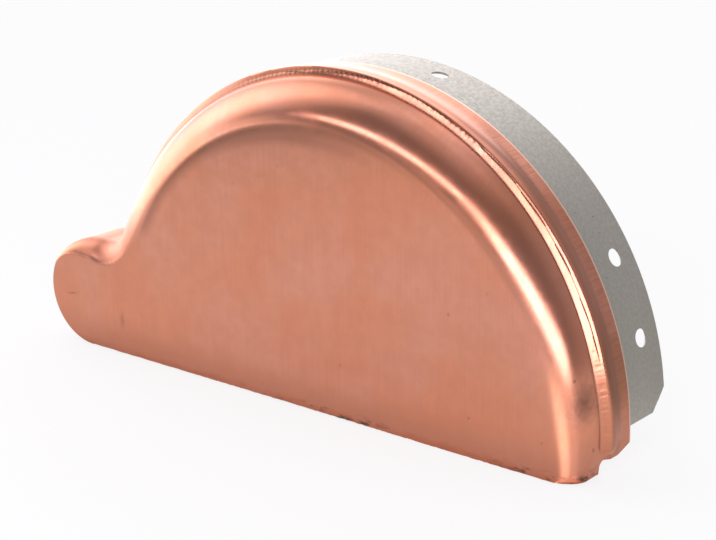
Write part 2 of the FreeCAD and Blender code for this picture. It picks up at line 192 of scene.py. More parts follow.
def wobble(angle):
    """A value between -1 and 1 that wanders along the rim, the same in every run."""
    return np.interp(angle, wobble_places, wobble_values)


def bell(value, middle, width):
    """One at the middle and a smooth fall to both sides."""
    return np.exp(-((value - middle) / width) ** 2)


def waves(way, pitch, shift):
    """Waves between 0 and 1, one for each pitch along the way."""
    return 0.5 + 0.5 * np.cos(2 * np.pi * way / pitch + shift)


def groove_depth(angle):
    """How far behind the face the roller's groove runs: it wanders forward on the way up."""
    return 9.58 - 0.0105 * angle


def rib_marks(angle, depth):
    """How deep the roller's notches and ticks go, in mm."""
    along = np.radians(angle) * RIB_CREST
    behind = depth - groove_depth(angle)
    notch = waves(along, NOTCH_PITCH, 2.0 * wobble(angle))
    bite = bell(behind, -0.05, 0.24)
    tick = waves(along, TICK_PITCH, 2.5 * wobble(angle * 1.7))
    scatter = bell(behind, -0.4, 0.42) + 0.6 * bell(behind, 0.5, 0.4)
    top = ease(angle, 48, 66) * (1 - ease(angle, 100, 128))
    low = 1 - ease(angle, 10, 27)
    return (NOTCH_BITE * top * notch * bite * (0.75 + 0.25 * wobble(angle * 0.6 + 20))
            + TICK_BITE * low * tick * scatter * (0.6 + 0.4 * wobble(angle * 0.9 + 40)))


def rolled(angle):
    """One where the groove is deep, zero at the two ends of the rib."""
    return ease(angle, 12, 26) * (1 - ease(angle, 105, 140))


def rib_share(angle, depth):
    """One along the rib, zero past its two tips, which are rounded seen from outside."""
    across = np.clip((depth - RIB_MIDDLE) / RIB_HALF, -1, 1)
    drawn_in = TIP_ROUND * (1 - np.sqrt(1 - across ** 2))
    from_tip = np.minimum(angle - RIB_TIPS[0], RIB_TIPS[1] - angle)
    return ease(np.radians(from_tip) * WALL - drawn_in, -0.8, 0.9)


def flank_tilt(angle):
    """Tilt of the rib's front flank in degrees: steeper towards the left, a little flatter past the top."""
    return np.clip(34 + 0.5 * angle, 43, 71) - 4.5 * bell(angle, 101, 7)


def rim_height(angle, depth, shoulder):
    """Distance of the sheet's outer side from the dome's centre."""
    below = np.clip(shoulder - depth, 0, None)
    wall = WALL - shoulder + np.sqrt(shoulder ** 2 - below ** 2)
    wall = wall + (FLANGE - WALL) * ease(depth, STEP_START, STEP_END)
    wall = wall - REAR_FALL * ease(depth, REAR_EDGE, FLANGE_DEPTH)
    steepness = np.tan(np.radians(flank_tilt(angle)))
    step = GROOVE * rolled(angle) * ease(depth, groove_depth(angle) - 0.1, groove_depth(angle) + 0.1)
    to_crest = RIB_CREST - WALL + FOOT_SINK - steepness * (depth - RIB_FOOT) + step
    fall = (RIB_CREST - FLANGE) * ease(depth, RIB_FALL, RIB_END)
    rib = RIB_CREST - (to_crest + np.sqrt(to_crest ** 2 + CREST_ROUND)) / 2 - fall
    share = rib_share(angle, depth) * ((depth > RIB_START) & (depth < RIB_END))
    return wall + np.clip(rib - wall, 0, None) * share - rib_marks(angle, depth) * share


print("rib rises", round(RIB_CREST - FLANGE, 2), "mm above the flange")

# %% [markdown]
# ## The sheet
# A grid primitive is a flat sheet already: it only has to be pressed into shape. Each of its vertices is
# sent to its place on the form, the doubled ones are merged, and the Solidify modifier gives the sheet its
# thickness inwards. The turned-in straight edge is a second, narrow grid that is welded to the first.

# %% Shape of the foot and the straight edge
FOOT_DEPTH, FOOT_GAP, FOOT_ROUND = 8.3, 2.8, 1.5
FOOT_CUT_FROM, FOOT_CUT_RISE = 13.4, 1.3
DRAWN_UP_TO = 8


def bend_radius(x):
    """The straight edge is bent sharper towards the right."""
    return SHARP_BEND + (SOFT_BEND - SHARP_BEND) * (1 - ease(x, -20, 50))


def foot_height(depth):
    """Lowest point of the rim at the right end, where it stops short of the straight edge."""
    short = np.clip(FOOT_DEPTH + FOOT_ROUND - depth, 0, None)
    rise = np.sqrt(np.clip(FOOT_ROUND ** 2 - short ** 2, 0, None))
    bottom = bend_radius(WALL)
    cut = FOOT_CUT_RISE * np.clip((depth - FOOT_CUT_FROM) / (FLANGE_DEPTH - FOOT_CUT_FROM), 0, 1)
    return np.where(depth < FOOT_DEPTH, bottom, np.maximum(FOOT_GAP - FOOT_ROUND + rise, bottom) + cut)


def drawn_up(angle, radius, depth):
    """The lowest columns' angles, changed so that the sheet ends at the level bottom."""
    lowest = np.degrees(np.arcsin((foot_height(depth) - AXIS_HEIGHT) / radius))
    first = columns[0, 0]
    share = np.clip((angle - first) / (DRAWN_UP_TO - first), 0, 1)
    return np.where(angle < DRAWN_UP_TO, lowest + (DRAWN_UP_TO - lowest) * share, angle)


def on_rim(angle, radius, depth):
    """Point on the dome at an angle, a radius and a depth behind the face."""
    turned = np.radians(drawn_up(angle, radius, depth))
    x, z = radius * np.cos(turned), AXIS_HEIGHT + radius * np.sin(turned)
    return np.stack([x, depth + 0 * turned, z], -1)


print("foot stops", round(float(foot_height(FOOT_DEPTH + FOOT_ROUND)), 2), "mm above the ground")

# %% [markdown]
# The points come row by row. The flat face reaches from a spine just above the straight edge to the shoulder,
# the shoulder is part of a circle, and the rim follows the height worked out above. At the foot on the right
# the shoulder is tighter, so the corner there looks fuller. Each point also notes how far along the rim it is,
# how deep behind the face, and how much painted shade it gets in the roller's notches, the crease and the
# groove. The finishes use that later.

# %% Press the sheet over the form
FLAT_SHARES, ROUND_ROWS, ROUND_END = (0, 0.4, 0.75, 0.93, 0.985), 15, 7.2
FOOT_SHOULDER, FOOT_SPREAD = 4.4, 0.32
FOOT_ANGLE, FOOT_TURN = -5.2, 17
CREASE_WIDTH, GROOVE_WIDTH = 0.2, 0.11
rim_rows = np.concatenate([
    (7.45, 7.7, 7.86, 7.98, 8.08), np.arange(8.18, 9.95, 0.1), np.arange(10.03, 10.8, 0.18),
    np.arange(10.95, 12.9, 0.38), (13.3, 13.9, 14.6, 15.6, 16.8, 17.35, FLANGE_DEPTH),
])


def flat_rows(edge, x, z):
    """Rows of the flat face, from a spine above the straight edge out to the shoulder's front edge."""
    length = np.concatenate([[0], np.cumsum(np.hypot(*np.diff(np.stack([x, z]), axis=1)))])
    spine = np.zeros_like(edge)
    spine[:, 0] = edge[0, 0] + (edge[-1, 0] - edge[0, 0]) * length / length[-1]
    spine[:, 2] = bend_radius(spine[:, 0])
    return [spine + (edge - spine) * share for share in FLAT_SHARES]


def painted_rib_shade(angle, depth):
    """Painted shade on the rib, from 0 to 1: in the roller's notches, the crease in front and the groove."""
    crease = bell(depth, RIB_FOOT, CREASE_WIDTH)
    groove = rolled(angle) * bell(depth, groove_depth(angle), GROOVE_WIDTH)
    # The dents are in the mesh already; this darkening of the notches, crease and groove is painted shade.
    marks = rib_marks(angle, depth) * 4 + 0.7 * crease + 0.8 * groove
    return np.clip(marks, 0, 1) * rib_share(angle, depth)


def pressed_points():
    """Rows of points over the whole form, and for each the way along the rim, the depth and the painted shade
    of the rib's marks.
    """
    angle, x, z, out_x, out_z, shoulder, has_flange = columns.T
    on_dome = has_flange > 0
    rise = np.clip((angle - FOOT_ANGLE) / FOOT_TURN, 0, 1)
    at_foot = np.where(on_dome, (1 - rise) ** 2, 0)
    shoulder = shoulder + (FOOT_SHOULDER - SHOULDER) * at_foot
    spread = 1 + FOOT_SPREAD * at_foot
    part_turn = np.arccos(1 - ROUND_END / np.maximum(shoulder, ROUND_END))
    last = np.where(on_dome & (shoulder > ROUND_END), part_turn, np.pi / 2)
    along = np.radians(angle) * FLANGE
    rows, rims = [], []
    for share in np.linspace(0, 1, ROUND_ROWS + 1):
        inset = spread * shoulder * (1 - np.sin(last * share))
        depth = shoulder * (1 - np.cos(last * share))
        plain = np.stack([x - out_x * inset, depth, z - out_z * inset], -1)
        rows.append(np.where(on_dome[:, None], on_rim(angle, WALL - inset, depth), plain))
        rims.append(np.stack([along, np.minimum(depth, ROUND_END), 0 * depth], -1))
    start = rows[-1][:, 1]
    for row, rim in enumerate(rim_rows, start=1):
        early = start + (rim - ROUND_END) * (RIB_START - start) / (RIB_START - ROUND_END)
        depth = np.where(on_dome, rim if rim >= RIB_START else early,
                         start + (LOBE_DEPTH - start) * row / len(rim_rows))
        real = drawn_up(angle, FLANGE, depth)
        turned = on_rim(angle, rim_height(real, depth, shoulder), depth)
        rows.append(np.where(on_dome[:, None], turned, np.stack([x, depth, z], -1)))
        mark = np.where(on_dome, painted_rib_shade(real, depth), 0)
        rims.append(np.stack([along, np.where(on_dome, depth, ROUND_END), mark], -1))
    return np.array(flat_rows(rows[0], x, z) + rows), np.array([rims[0]] * len(FLAT_SHARES) + rims)


pressed, rims = pressed_points()
print("rows of the sheet:", len(pressed))

# %% [markdown]
# The straight edge is bent inwards round a small radius and ends in a narrow lip. The shears left the bend
# uneven, so small bumps lift it here and there. Both grids then become one mesh, and the sheet gets its
# thickness.

# %% Bend the straight edge and join the sheet
BEND_SWINGS, LIP_WIDTHS = (18, 36, 54, 72, 90), (1.6, 2.8, LIP)
BUMP_STEP, BUMP_HEIGHT = 4, 0.22


def lip_points(pressed):
    """The straight edge, bent inwards: rows of points from the face round to the inner edge of the lip."""
    foot = [point for point in pressed[len(FLAT_SHARES):, 0] if point[1] <= FOOT_DEPTH]
    border = np.concatenate([pressed[0, ::-1], np.array(foot)[1:]])
    step = np.gradient(border, axis=0)
    step[np.hypot(step[:, 0], step[:, 1]) < 1e-9] = (1, 0, 0)
    inward = np.stack([-step[:, 1], step[:, 0]], -1) / np.hypot(step[:, 0], step[:, 1])[:, None]
    bumps = np.arange(0, len(border), BUMP_STEP)
    heights = generator.uniform(0, BUMP_HEIGHT, len(bumps)) ** 1.4
    rough = np.interp(np.arange(len(border)), bumps, heights)
    bend = bend_radius(border[:, 0])
    rows = [border]
    for swing in np.radians(BEND_SWINGS):
        row = border.copy()
        row[:, :2] += inward * (bend * (1 - math.cos(swing)))[:, None]
        row[:, 2] = border[:, 2] - bend * math.sin(swing) + rough * math.sin(swing)
        rows.append(row)
    for width in LIP_WIDTHS:
        row = border.copy()
        row[:, :2] += inward * width
        row[:, 2] = border[:, 2] - bend + rough
        rows.append(row)
    return np.array(rows)


def grid_sheet(name, points, rims):
    """A grid primitive whose vertices are sent to the given rows of points, in mm."""
    bpy.ops.object.select_all(action="DESELECT")
    height, width = points.shape[:2]
    bpy.ops.mesh.primitive_grid_add(x_subdivisions=width - 1, y_subdivisions=height - 1, size=1)
    sheet = bpy.context.object
    sheet.name = name
    flat = np.zeros(len(sheet.data.vertices) * 3)
    sheet.data.vertices.foreach_get("co", flat)
    order = np.lexsort((flat[0::3].round(6), flat[1::3].round(6)))
    placed = np.zeros((len(order), 3))
    placed[order] = points.reshape(-1, 3) * MM
    sheet.data.vertices.foreach_set("co", placed.ravel())
    values = np.zeros((len(order), 3))
    values[order] = rims.reshape(-1, 3)
    sheet.data.attributes.new("rim", "FLOAT_VECTOR", "POINT").data.foreach_set("vector", values.ravel())
    sheet.data.update()
    return sheet


lip = lip_points(pressed)
face_sheet = grid_sheet("copper_cap_sheet", pressed, rims)
lip_sheet = grid_sheet("lip", lip, np.zeros_like(lip))

bpy.ops.object.select_all(action="DESELECT")
lip_sheet.select_set(True)
face_sheet.select_set(True)
bpy.context.view_layer.objects.active = face_sheet
bpy.ops.object.join()
bpy.ops.object.mode_set(mode="EDIT")
bpy.ops.mesh.select_all(action="SELECT")
bpy.ops.mesh.remove_doubles(threshold=0.002 * MM)
bpy.ops.mesh.normals_make_consistent(inside=False)
bpy.ops.object.mode_set(mode="OBJECT")
largest_face = max(face_sheet.data.polygons, key=lambda polygon: polygon.area)
if largest_face.normal.y > 0:
    face_sheet.data.flip_normals()

thicken = face_sheet.modifiers.new("sheet", "SOLIDIFY")
thicken.thickness = SHEET * MM
thicken.offset = -1
thicken.use_even_offset = False
bpy.ops.object.modifier_apply(modifier=thicken.name)
bpy.ops.object.shade_smooth_by_angle(angle=math.radians(40))
print("pressed cap:", len(face_sheet.data.polygons), "faces")
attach(face_sheet, "root")
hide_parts("copper_cap")

# %% [markdown]
# ## The band
# The grey band is a strip of sheet bent round, with a bead rolled near its front edge that snaps into the
# copper rib. It could be cut from a tube, but a bender would draw its section once and carry it round, and
# Spin does just that. One vertex is extruded along the section, and the section is spun about the axis of
# the half-round.

# %% Band: section and spin
BAND_OUTSIDE, BAND_SHEET, BAND_REAR = 63.3, 0.6, 31.0
BAND_ENDS = 1.0, 155.4
BAND_STEPS = 172
bead = [(63.30, 8.75), (63.42, 9.05), (63.66, 9.45), (63.84, 9.85), (63.90, 10.25), (63.84, 10.65),
        (63.66, 11.05), (63.42, 11.45), (63.30, 11.80)]
plain_depths = np.append(np.arange(13.4, 30.6, 1.3), BAND_REAR)
section = bead + [(BAND_OUTSIDE, depth) for depth in plain_depths]


def on_band(radius, depth, angle):
    """Point at a radius and an angle about the dome's axis, in Blender's metres."""
    x, z = dome + radius * toward(angle)
    return Vector((x, depth, z)) * MM


bpy.ops.object.select_all(action="DESELECT")
bpy.ops.mesh.primitive_plane_add(size=MM)
steel_strip = bpy.context.object
steel_strip.name = "steel_band_strip"
bpy.ops.object.mode_set(mode="EDIT")
bpy.ops.mesh.select_all(action="SELECT")
bpy.ops.mesh.merge(type="CENTER")
corners = [on_band(radius, depth, BAND_ENDS[0]) for radius, depth in section]
bpy.ops.transform.translate(value=corners[0])
for start, end in zip(corners, corners[1:]):
    bpy.ops.mesh.extrude_region_move(TRANSFORM_OT_translate={"value": end - start})
bpy.ops.mesh.select_all(action="SELECT")
bpy.ops.mesh.spin(steps=BAND_STEPS, angle=math.radians(BAND_ENDS[1] - BAND_ENDS[0]),
                  center=(0, 0, AXIS_HEIGHT * MM), axis=(0, 1, 0))
bpy.ops.mesh.select_all(action="SELECT")
bpy.ops.mesh.remove_doubles(threshold=0.001 * MM)
bpy.ops.mesh.normals_make_consistent(inside=False)
bpy.ops.object.mode_set(mode="OBJECT")
print("band strip:", len(steel_strip.data.polygons), "faces")

# %% [markdown]
# The two rear corners are snipped off, so that the band slides into the gutter without catching. Bisect cuts
# along a plane and can throw away one side. It cuts only what is selected, so the faces near one corner are
# selected by their place first. The bead is nipped off where the rib over it ends. Then Solidify gives the
# strip its thickness inwards.

# %% Band: snipped corners and thickness
SNIP_BACK, SNIP_ROUND, SNIP_REACH = 4.2, 3.0, 9
BEAD_END, BEAD_REAR = 150.5, 11.8
bpy.ops.object.mode_set(mode="EDIT")
bpy.ops.mesh.select_mode(type="FACE")
bpy.ops.mesh.select_all(action="DESELECT")
bpy.ops.object.mode_set(mode="OBJECT")
for end, side in ((BAND_ENDS[0], -1), (BAND_ENDS[1], 1)):
    corner_place = on_band(BAND_OUTSIDE, BAND_REAR, end)
    tangent = Vector((-math.sin(math.radians(end)), 0, math.cos(math.radians(end))))
    for polygon in steel_strip.data.polygons:
        polygon.select = (polygon.center - corner_place).length < SNIP_REACH * MM
    bpy.ops.object.mode_set(mode="EDIT")
    bpy.ops.mesh.bisect(plane_co=on_band(BAND_OUTSIDE, BAND_REAR - SNIP_BACK, end),
                        plane_no=tangent * SNIP_BACK * side + Vector((0, SNIP_ROUND, 0)), clear_outer=True)
    bpy.ops.mesh.select_all(action="DESELECT")
    bpy.ops.object.mode_set(mode="OBJECT")

for polygon in steel_strip.data.polygons:
    x, depth, z = polygon.center / MM
    past_the_rib = math.degrees(math.atan2(z - AXIS_HEIGHT, x)) > BEAD_END
    polygon.select = past_the_rib and depth < BEAD_REAR
bpy.ops.object.mode_set(mode="EDIT")
bpy.ops.mesh.delete(type="FACE")
bpy.ops.object.mode_set(mode="OBJECT")
top_face = max(steel_strip.data.polygons, key=lambda polygon: polygon.center.z)
if top_face.normal.z < 0:
    steel_strip.data.flip_normals()
thicken = steel_strip.modifiers.new("sheet", "SOLIDIFY")
thicken.thickness = BAND_SHEET * MM
thicken.offset = -1
bpy.ops.object.modifier_apply(modifier=thicken.name)
print("band sheet:", len(steel_strip.data.polygons), "faces")

# %% [markdown]
# The rivet holes are punched from outside. A punched hole breaks out wider on the far side, so each cutter is
# a short cone. The five cutters are joined, and one Boolean modifier takes them out of the band.

# %% Band: rivet holes
HOLE_DEPTH, HOLE_RADIUS, HOLE_WIDER = 25.1, 1.8, 0.75
PUNCH_SIDES, PUNCH_LENGTH = 40, 2
OUTER_HOLE, INNER_HOLE = 14.2, 29
HOLE_ANGLES = [
    BAND_ENDS[0] + OUTER_HOLE, BAND_ENDS[0] + INNER_HOLE, sum(BAND_ENDS) / 2,
    BAND_ENDS[1] - INNER_HOLE, BAND_ENDS[1] - OUTER_HOLE,
]
bpy.ops.object.select_all(action="DESELECT")
cutters = []
for angle in HOLE_ANGLES:
    bpy.ops.mesh.primitive_cone_add(
        vertices=PUNCH_SIDES, depth=PUNCH_LENGTH * MM,
        radius1=(HOLE_RADIUS + HOLE_WIDER) * MM, radius2=(HOLE_RADIUS - HOLE_WIDER) * MM,
        location=on_band(BAND_OUTSIDE, HOLE_DEPTH, angle), rotation=(0, math.radians(90 - angle), 0))
    cutters.append(bpy.context.object)
for cutter in cutters:
    cutter.select_set(True)
bpy.ops.object.join()
punch = bpy.context.object
bpy.context.view_layer.objects.active = steel_strip
holes = steel_strip.modifiers.new("holes", "BOOLEAN")
holes.operation, holes.solver, holes.object = "DIFFERENCE", "EXACT", punch
bpy.ops.object.modifier_apply(modifier=holes.name)
bpy.data.objects.remove(punch)
bpy.ops.object.select_all(action="DESELECT")
steel_strip.select_set(True)
bpy.ops.object.shade_smooth_by_angle(angle=math.radians(30))
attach(steel_strip, "root")
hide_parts("steel_band")
print("band with", len(HOLE_ANGLES), "holes:", len(steel_strip.data.polygons), "faces")

# %% [markdown]
# ## Finishes
# A finish is a small machine of nodes: textures make masks, masks choose colours and roughness, and one
# shader at the end turns them into metal. Building nodes in code is wordy, so a few helpers come first. Each
# adds one or two nodes to a tree and hands back the socket that carries the result.

# %% Node helpers
def put(tree, socket, value):
    """Link a socket to an input, or set a plain value on it."""
    if isinstance(value, bpy.types.NodeSocket):
        tree.links.new(value, socket)
    elif isinstance(value, (int, float)):
        socket.default_value = value
    else:
        socket.default_value = (*value, 1) if len(socket.default_value) == 4 else value


def arith(tree, kind, a, b=0.0, c=0.0):
    """One step of arithmetic. Only MULTIPLY_ADD uses the third value."""
    node = tree.nodes.new("ShaderNodeMath")
    node.operation = kind
    for socket, value in zip(node.inputs, (a, b, c)):
        put(tree, socket, value)
    return node.outputs["Value"]


def chain(tree, kind, values):
    """The same step of arithmetic over several values."""
    result = values[0]
    for value in values[1:]:
        result = arith(tree, kind, result, value)
    return result


def product(tree, *values):
    return chain(tree, "MULTIPLY", values)


def total(tree, *values):
    return chain(tree, "ADD", values)


def largest(tree, *values):
    return chain(tree, "MAXIMUM", values)


def length_of(tree, a, b):
    """How far a point is from the origin of a plane."""
    return arith(tree, "SQRT", total(tree, *[arith(tree, "POWER", side, 2) for side in (a, b)]))


def bearing_of(tree, x, y):
    """Heading in degrees: 0 is in front of the face, 90 to its right."""
    return arith(tree, "DEGREES", arith(tree, "ARCTAN2", x, product(tree, y, -1)))


def ramp(tree, value, low, high, to_low=0.0, to_high=1.0):
    """A smooth rise from one value to another while the input goes from low to high."""
    node = tree.nodes.new("ShaderNodeMapRange")
    node.interpolation_type = "SMOOTHSTEP"
    for name, number in (("From Min", low), ("From Max", high), ("To Min", to_low), ("To Max", to_high)):
        node.inputs[name].default_value = number
    tree.links.new(value, node.inputs["Value"])
    return node.outputs["Result"]


def window(tree, value, start, full, fade, end):
    """One between full and fade, zero before start and after end."""
    return arith(tree, "SUBTRACT", ramp(tree, value, start, full), ramp(tree, value, fade, end))


def blend(tree, share, a, b):
    """A mix of two colours."""
    node = tree.nodes.new("ShaderNodeMix")
    node.data_type = "RGBA"
    for socket, value in zip([s for s in node.inputs if s.enabled], (share, a, b)):
        put(tree, socket, value)
    return next(s for s in node.outputs if s.enabled)


def noise(tree, place, scale, detail=2.0, roughness=0.5):
    texture = tree.nodes.new("ShaderNodeTexNoise")
    for name, value in (("Scale", scale), ("Detail", detail), ("Roughness", roughness)):
        put(tree, texture.inputs[name], value)
    tree.links.new(place, texture.inputs["Vector"])
    return texture.outputs["Fac"]


def stretched(tree, place, scale):
    mapping = tree.nodes.new("ShaderNodeMapping")
    mapping.inputs["Scale"].default_value = scale
    tree.links.new(place, mapping.inputs["Vector"])
    return mapping.outputs["Vector"]


def in_millimetres(tree):
    """Object coordinates, in mm."""
    return stretched(tree, tree.nodes.new("ShaderNodeTexCoord").outputs["Object"], (1 / MM, 1 / MM, 1 / MM))


def parts_of(tree, vector):
    node = tree.nodes.new("ShaderNodeSeparateXYZ")
    tree.links.new(vector, node.inputs["Vector"])
    return node.outputs["X"], node.outputs["Y"], node.outputs["Z"]


def new_material(name):
    material = bpy.data.materials.new(name)
    material.use_nodes = True
    return material, material.node_tree, material.node_tree.nodes["Principled BSDF"]


def fine_relief(tree, shader, height, strength):
    """Bend the shader's normals by a height that is too fine for the mesh."""
    bump = tree.nodes.new("ShaderNodeBump")
    bump.inputs["Strength"].default_value = strength
    bump.inputs["Distance"].default_value = 0.02 * MM
    tree.links.new(height, bump.inputs["Height"])
    tree.links.new(bump.outputs["Normal"], shader.inputs["Normal"])


def mixed_surface(tree, share, first, second, output):
    """Send a mix of two shaders to the tree's output node."""
    mix = tree.nodes.new("ShaderNodeMixShader")
    for socket, value in zip(mix.inputs, (share, first, second)):
        tree.links.new(value, socket)
    tree.links.new(mix.outputs["Shader"], tree.nodes[output].inputs["Surface"])


# %% [markdown]
# ### Grain and specks, shared by both metals
# Rolled copper and zinc-coated steel look different, but both have a fine cloudy grain and small dark specks
# where dirt or a pit sits. That makes it one effect with different sizes, so it is a node group: built once,
# then placed in each material with its own values. Specks are the centres of Voronoi cells, and a random
# number per cell decides which of the cells have one.

# %% The shared node group
grain_group = bpy.data.node_groups.new("grain_and_specks", "ShaderNodeTree")
for name, way, kind in (
    ("Grain Place", "INPUT", "Vector"), ("Grain Size", "INPUT", "Float"),
    ("Speck Place", "INPUT", "Vector"), ("Speck Share", "INPUT", "Float"),
    ("Grain", "OUTPUT", "Float"), ("Specks", "OUTPUT", "Float"),
):
    grain_group.interface.new_socket(name, in_out=way, socket_type="NodeSocket" + kind)
given = grain_group.nodes.new("NodeGroupInput")
result = grain_group.nodes.new("NodeGroupOutput")
fineness = arith(grain_group, "DIVIDE", 1.0, given.outputs["Grain Size"])
cloud = noise(grain_group, given.outputs["Grain Place"], fineness, 4.0, 0.65)
cells = grain_group.nodes.new("ShaderNodeTexVoronoi")
cells.inputs["Scale"].default_value = 1.0
grain_group.links.new(given.outputs["Speck Place"], cells.inputs["Vector"])
chance, size, _ = parts_of(grain_group, cells.outputs["Color"])
chosen = arith(grain_group, "LESS_THAN", chance, given.outputs["Speck Share"])
speck_radius = arith(grain_group, "MULTIPLY_ADD", size, 0.10, 0.05)
from_middle = arith(grain_group, "DIVIDE", cells.outputs["Distance"], speck_radius)
near = ramp(grain_group, from_middle, 0.4, 1.0, 1.0, 0.0)
grain_group.links.new(ramp(grain_group, cloud, 0.3, 0.7), result.inputs["Grain"])
grain_group.links.new(product(grain_group, near, chosen), result.inputs["Specks"])


def grain_and_specks(tree, grain_place, grain_size, speck_place, speck_share):
    """Place the group in a material and hand back its two masks."""
    node = tree.nodes.new("ShaderNodeGroup")
    node.node_tree = grain_group
    for name, value in (("Grain Place", grain_place), ("Grain Size", grain_size),
                        ("Speck Place", speck_place), ("Speck Share", speck_share)):
        put(tree, node.inputs[name], value)
    return node.outputs["Grain"], node.outputs["Specks"]


print("node group:", grain_group.name, "with", len(grain_group.nodes), "nodes")

# %% [markdown]
# ### The copper
# Fresh copper sheet is satin. The mill leaves fine upright lines on the face, handling leaves pink and orange
# patches, and dirt sticks along the straight edge. Painted shade darkens the rib's notches, crease and groove,
# the strip behind the rib and a line along the bend, and one spot on the shoulder is a painted dark reflection.
# First come the patterns that cover all of the sheet. They are kept faint, because on metal most of what one
# sees is the reflected room. Over the metal lies a thin clear film with a softer gloss, which is the shader's
# coat.

# %% Copper: sheet colour and rolling lines
PINK_COPPER, ORANGE_COPPER = (0.650, 0.266, 0.170), (0.642, 0.238, 0.130)
BLOTCH_COLOUR, LINE_COLOUR = (0.56, 0.202, 0.116), (0.46, 0.178, 0.105)
SPECK_COLOUR = (0.20, 0.075, 0.045)
BLOTCH_SIZE, SPECK_SCALE, SPECK_SHARE = 4.5, (0.33, 0.33, 0.33), 0.15
UPRIGHT_LINES = (3.0, 0.4, 0.045)
copper, tree, shader = new_material("satin_copper")
for name, value in (("Metallic", 1.0), ("Specular Tint", (0.95, 0.80, 0.72)), ("Coat Weight", 0.45),
                    ("Coat Roughness", 0.22), ("Coat IOR", 1.6)):
    put(tree, shader.inputs[name], value)
place = in_millimetres(tree)
across, _, height = parts_of(tree, place)
speck_place = stretched(tree, place, SPECK_SCALE)
blotches, specks = grain_and_specks(tree, place, BLOTCH_SIZE, speck_place, SPECK_SHARE)
patches = ramp(tree, noise(tree, place, 0.05, 3), 0.36, 0.64)
lines = noise(tree, stretched(tree, place, UPRIGHT_LINES), 1.0, 3, 0.6)
colour = blend(tree, patches, PINK_COPPER, ORANGE_COPPER)
colour = blend(tree, ramp(tree, blotches, 0.0, 1.0, 0.0, 0.30), colour, BLOTCH_COLOUR)
colour = blend(tree, ramp(tree, lines, 0.35, 0.75, 0.0, 0.17), colour, LINE_COLOUR)
colour = blend(tree, product(tree, specks, 0.38), colour, SPECK_COLOUR)
print("copper nodes for the sheet:", len(tree.nodes))

# %% [markdown]
# Where the flat face bends into the shoulder at the upper left, a thin dark line is painted into the colour. It
# is a painted dark reflection: the dark band that lies beside the shoulder's highlight. Its mask is a ring
# about the dome's axis that comes in a little towards the right. The ring ends sharply on the shoulder's side,
# fades out on the way to the right, and stops above the valley.

# %% Copper: painted dark reflection along the bend
BEND_SHADE_COLOUR, BEND_RING, BEND_DRIFT = (0.26, 0.100, 0.062), (51.6, 54.2, 55.0, 57.6), 2.4
from_axis = length_of(tree, arith(tree, "SUBTRACT", height, AXIS_HEIGHT), across)
drifted = total(tree, from_axis, ramp(tree, across, -42, 0, 0.0, BEND_DRIFT))
# Painted dark reflection: the mask of the dark band beside the shoulder's highlight.
painted_bend_shade = product(
    tree, window(tree, drifted, *BEND_RING), ramp(tree, height, 26, 34),
    ramp(tree, across, -6, 24, 1.0, 0.0), ramp(tree, from_axis, 54.4, 55.2, 0.5, 0.0))
colour = blend(tree, painted_bend_shade, colour, BEND_SHADE_COLOUR)
print("bend line between", BEND_RING[0], "and", BEND_RING[-1], "mm from the axis")

# %% [markdown]
# The rim has its own coordinates, noted on the mesh when the sheet was pressed: the way along the rim, the
# depth behind the face and the painted shade for the roller's notches, the crease and the groove. With them,
# scratches run across the flange all the way round, painted shade darkens the notches, the crease, the groove
# and the hollow strip behind the rib, that strip most at the right, and the sheared rear edge shows bright bare
# metal.

# %% Copper: rim
SCRATCH_COLOUR, SHADE_BEHIND_RIB_COLOUR = (0.40, 0.145, 0.085), (0.30, 0.105, 0.058)
RIB_SHADE_COLOUR, BARE_COLOUR = (0.14, 0.050, 0.028), (0.98, 0.68, 0.54)
rim_note = tree.nodes.new("ShaderNodeAttribute")
rim_note.attribute_name = "rim"
rim_place = rim_note.outputs["Vector"]
along, depth, rib_shade_mask = parts_of(tree, rim_place)
scratches = noise(tree, stretched(tree, rim_place, (2.6, 0.16, 0)), 1.0, 3, 0.7)
on_flange = ramp(tree, depth, 12.6, 13.6)
scratch_share = product(tree, on_flange, ramp(tree, scratches, 0.40, 0.70, 0.0, 0.55))
colour = blend(tree, scratch_share, colour, SCRATCH_COLOUR)
# Painted shade in the hollow where the rib falls to the flange, stronger at the right.
strip = window(tree, depth, 9.9, 10.7, 13.0, 14.6)
shade_behind_rib = product(tree, strip, ramp(tree, along, 70, 98, 0.6, 0.05))
colour = blend(tree, shade_behind_rib, colour, SHADE_BEHIND_RIB_COLOUR)
# Painted shade in the roller's notches, the crease in front of the rib and the groove.
colour = blend(tree, product(tree, rib_shade_mask, 0.8), colour, RIB_SHADE_COLOUR)
bare_edge = ramp(tree, depth, 17.0, 17.3)
colour = blend(tree, product(tree, bare_edge, 0.9), colour, BARE_COLOUR)
print("copper nodes with the rim:", len(tree.nodes))

# %% [markdown]
# Stains sit in known places, and so does one painted dark reflection on the shoulder by the right foot, where
# the long highlight breaks off. Each is a soft spot: a Mapping node moves and scales the coordinates until the
# spot is a ball of radius one, and the distance from its middle gives the mask. A little noise on that distance
# makes the edges uneven.

